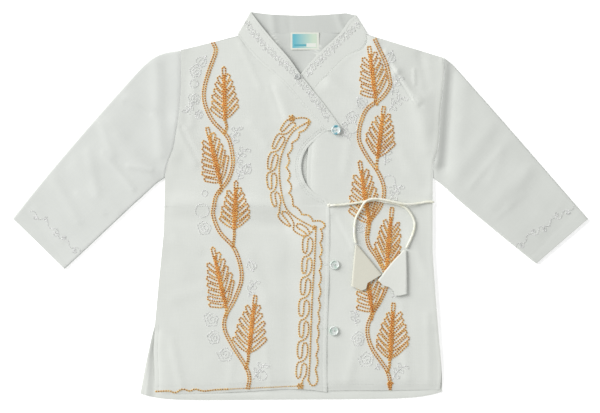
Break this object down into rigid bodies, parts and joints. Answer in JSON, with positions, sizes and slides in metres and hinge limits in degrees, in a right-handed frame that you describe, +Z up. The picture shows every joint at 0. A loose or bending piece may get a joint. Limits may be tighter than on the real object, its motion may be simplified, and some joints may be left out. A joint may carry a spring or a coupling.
{
  "type": "child's wrap-front kurta laid flat",
  "caption": "Long-sleeved wrap-front kurta laid flat, with a stand neckband, curved wrap edge, side tie cords with cloth tabs and round buttons.",
  "frame": {"origin": "middle of the garment's box, on the surface that it lies on, measured without the tie cords and their tabs", "axes": "+Z up out of the front, +Y towards the collar, +X towards the wearer's left sleeve"},
  "size_m": [0.6794, 0.4589, 0.0099],
  "materials": {
    "cotton": "off-white cotton and silk blend, plain weave, soft sheen",
    "satin": "ivory twisted satin cord",
    "pearl": "clear pearly polyester, polished",
    "woven_label": "woven satin label, plain blue field in a white border"
  },
  "bodies": {
    "root": {"back": "cotton", "front_over": "cotton", "front_under": "cotton", "sleeve_left": "cotton", "sleeve_right": "cotton", "collar": "cotton", "label": "woven_label", "button_wrap": "pearl", "button_mid": "pearl", "button_low": "pearl", "button_neck": "pearl", "tie_over": "satin", "tie_side": "satin", "tassel_left": "cotton", "tassel_right": "cotton"}
  },
  "joints": []
}
